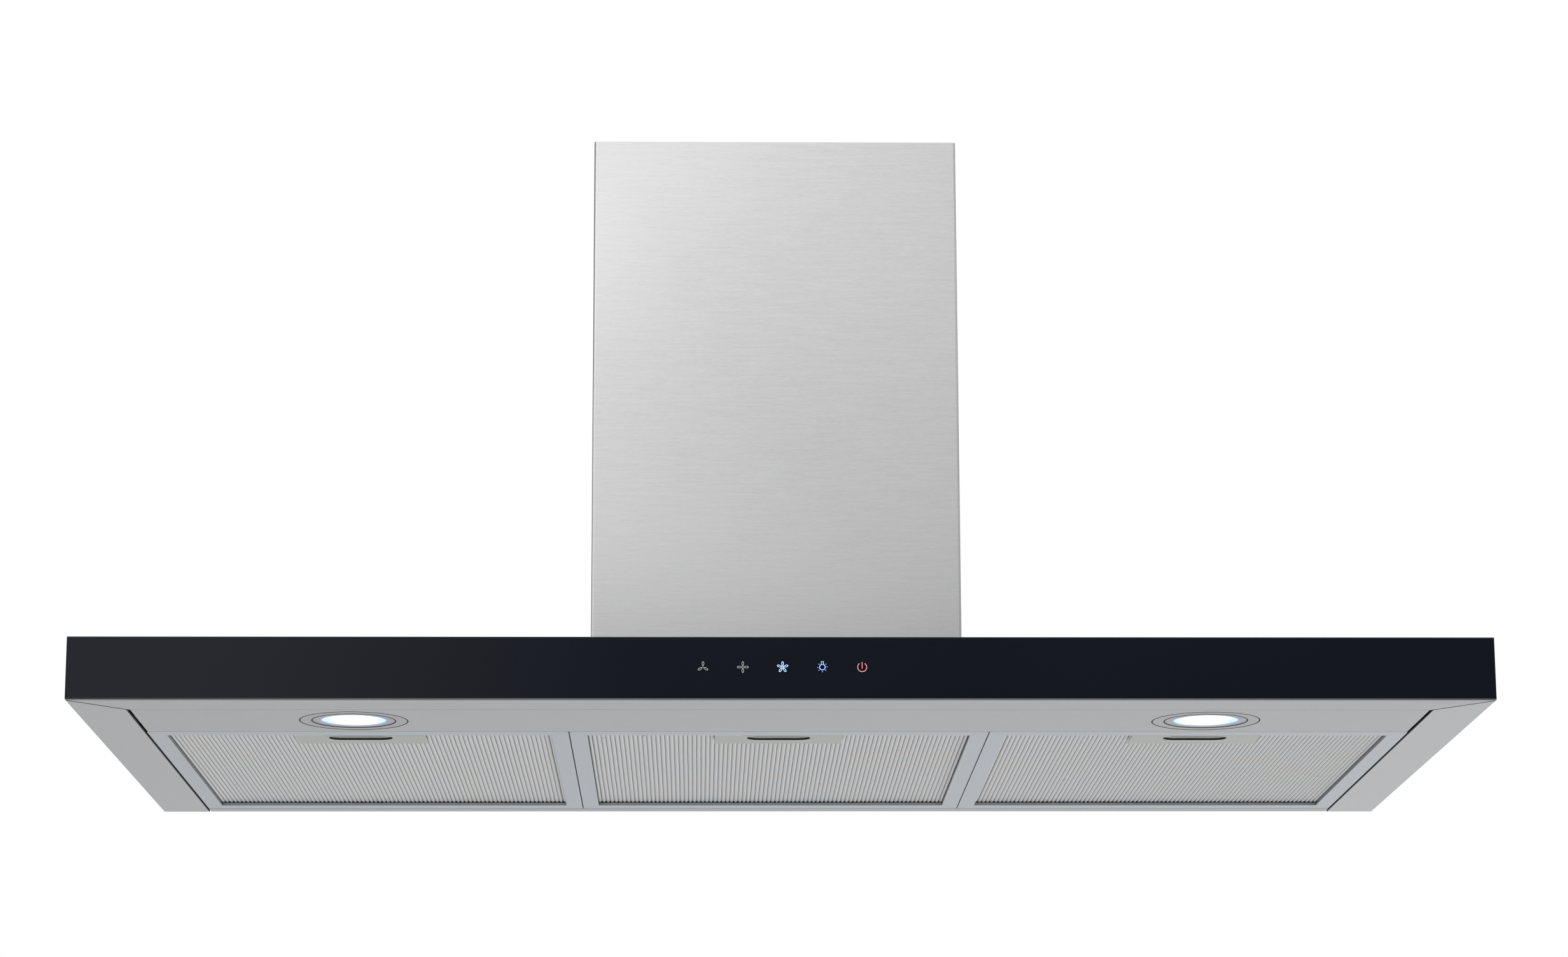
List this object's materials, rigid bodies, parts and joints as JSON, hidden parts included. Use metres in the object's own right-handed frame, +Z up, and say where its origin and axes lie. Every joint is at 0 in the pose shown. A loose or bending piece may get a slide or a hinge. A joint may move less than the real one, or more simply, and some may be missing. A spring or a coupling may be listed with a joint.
{
  "type": "wall range hood",
  "caption": "Wall canopy range hood with a black glass front, touch keys, lamps, hinged grease filters, blower and telescopic chimney.",
  "frame": {"origin": "on the wall plane, at the centre of the canopy's back panel", "axes": "+X to the right seen from the front, +Y towards the wall, +Z up"},
  "size_m": [0.9, 0.49, 0.435],
  "materials": {
    "brushed_steel": "brushed stainless steel",
    "lamp_trim": "satin stainless steel",
    "black_glass": "black back-printed tempered glass, polished",
    "anodised_aluminium": "satin anodised aluminium",
    "filter_mesh": "expanded aluminium mesh",
    "cast_aluminium": "die-cast aluminium",
    "galvanised_steel": "galvanised steel sheet",
    "black_plastic": "moulded flame-retardant plastic",
    "grey_plastic": "moulded plastic",
    "white_plastic": "moulded plastic",
    "circuit_board": "solder-resist green circuit board",
    "lamp_lens": "clear faceted glass, lit",
    "spring_steel": "bright spring steel",
    "black_rubber": "moulded rubber"
  },
  "bodies": {
    "root": {"canopy_shell": "brushed_steel", "rear_rim": "brushed_steel", "light_panel": "brushed_steel", "lower_chimney": "brushed_steel", "lamp_trim_left": "lamp_trim", "lamp_trim_right": "lamp_trim", "lamp_ring_left": "lamp_trim", "lamp_ring_right": "lamp_trim", "front_glass": "black_glass", "lamp_body_left": "cast_aluminium", "lamp_body_right": "cast_aluminium", "motor_box": "galvanised_steel", "motor": "galvanised_steel", "motor_bracket": "galvanised_steel", "chimney_bracket": "galvanised_steel", "volute_left": "black_plastic", "volute_right": "black_plastic", "outlet_collar": "black_plastic", "touch_housing": "black_plastic", "terminal_box": "white_plastic", "terminal_lid": "white_plastic", "lamp_driver": "white_plastic", "capacitor": "white_plastic", "touch_board": "circuit_board", "lamp_lens_left": "lamp_lens", "lamp_lens_right": "lamp_lens", "damper_pin": "spring_steel", "cable_grommet": "black_rubber"},
    "impeller": {"impeller": "grey_plastic", "motor_shaft": "spring_steel"},
    "upper_chimney": {"upper_chimney": "brushed_steel"},
    "damper_front": {"damper_flap_front": "grey_plastic"},
    "damper_rear": {"damper_flap_rear": "grey_plastic"},
    "filter_left": {"filter_frame_left": "anodised_aluminium", "filter_mesh_left": "filter_mesh", "filter_handle_left": "brushed_steel", "filter_spring_left": "spring_steel"},
    "latch_left": {"filter_latch_left": "brushed_steel"},
    "filter_centre": {"filter_frame_centre": "anodised_aluminium", "filter_mesh_centre": "filter_mesh", "filter_handle_centre": "brushed_steel", "filter_spring_centre": "spring_steel"},
    "latch_centre": {"filter_latch_centre": "brushed_steel"},
    "filter_right": {"filter_frame_right": "anodised_aluminium", "filter_mesh_right": "filter_mesh", "filter_handle_right": "brushed_steel", "filter_spring_right": "spring_steel"},
    "latch_right": {"filter_latch_right": "brushed_steel"}
  },
  "joints": [
    {"name": "impeller_spin", "type": "hinge", "parent": "root", "child": "impeller", "pos_m": [0, -0.15798, 0.135], "axis": [1, 0, 0], "continuous": true},
    {"name": "chimney_slide", "type": "slide", "parent": "root", "child": "upper_chimney", "axis": [0, 0, 1], "range_m": [0, 0.33]},
    {"name": "damper_front_hinge", "type": "hinge", "parent": "root", "child": "damper_front", "pos_m": [0, -0.12498, 0.2688], "axis": [-1, 0, 0], "range_deg": [0, 78]},
    {"name": "damper_rear_hinge", "type": "hinge", "parent": "root", "child": "damper_rear", "pos_m": [0, -0.12498, 0.2688], "axis": [1, 0, 0], "range_deg": [0, 78]},
    {"name": "filter_left_hinge", "type": "hinge", "parent": "root", "child": "filter_left", "pos_m": [-0.277, -0.0168, -0.02], "axis": [1, 0, 0], "range_deg": [0, 60]},
    {"name": "latch_left_slide", "type": "slide", "parent": "filter_left", "child": "latch_left", "axis": [0, 1, 0], "range_m": [0, 0.004], "stiffness_N_per_m": 400, "springref_m": -0.003, "deforming": ["filter_spring_left"]},
    {"name": "filter_centre_hinge", "type": "hinge", "parent": "root", "child": "filter_centre", "pos_m": [0, -0.0168, -0.02], "axis": [1, 0, 0], "range_deg": [0, 60]},
    {"name": "latch_centre_slide", "type": "slide", "parent": "filter_centre", "child": "latch_centre", "axis": [0, 1, 0], "range_m": [0, 0.004], "stiffness_N_per_m": 400, "springref_m": -0.003, "deforming": ["filter_spring_centre"]},
    {"name": "filter_right_hinge", "type": "hinge", "parent": "root", "child": "filter_right", "pos_m": [0.277, -0.0168, -0.02], "axis": [1, 0, 0], "range_deg": [0, 60]},
    {"name": "latch_right_slide", "type": "slide", "parent": "filter_right", "child": "latch_right", "axis": [0, 1, 0], "range_m": [0, 0.004], "stiffness_N_per_m": 400, "springref_m": -0.003, "deforming": ["filter_spring_right"]}
  ]
}
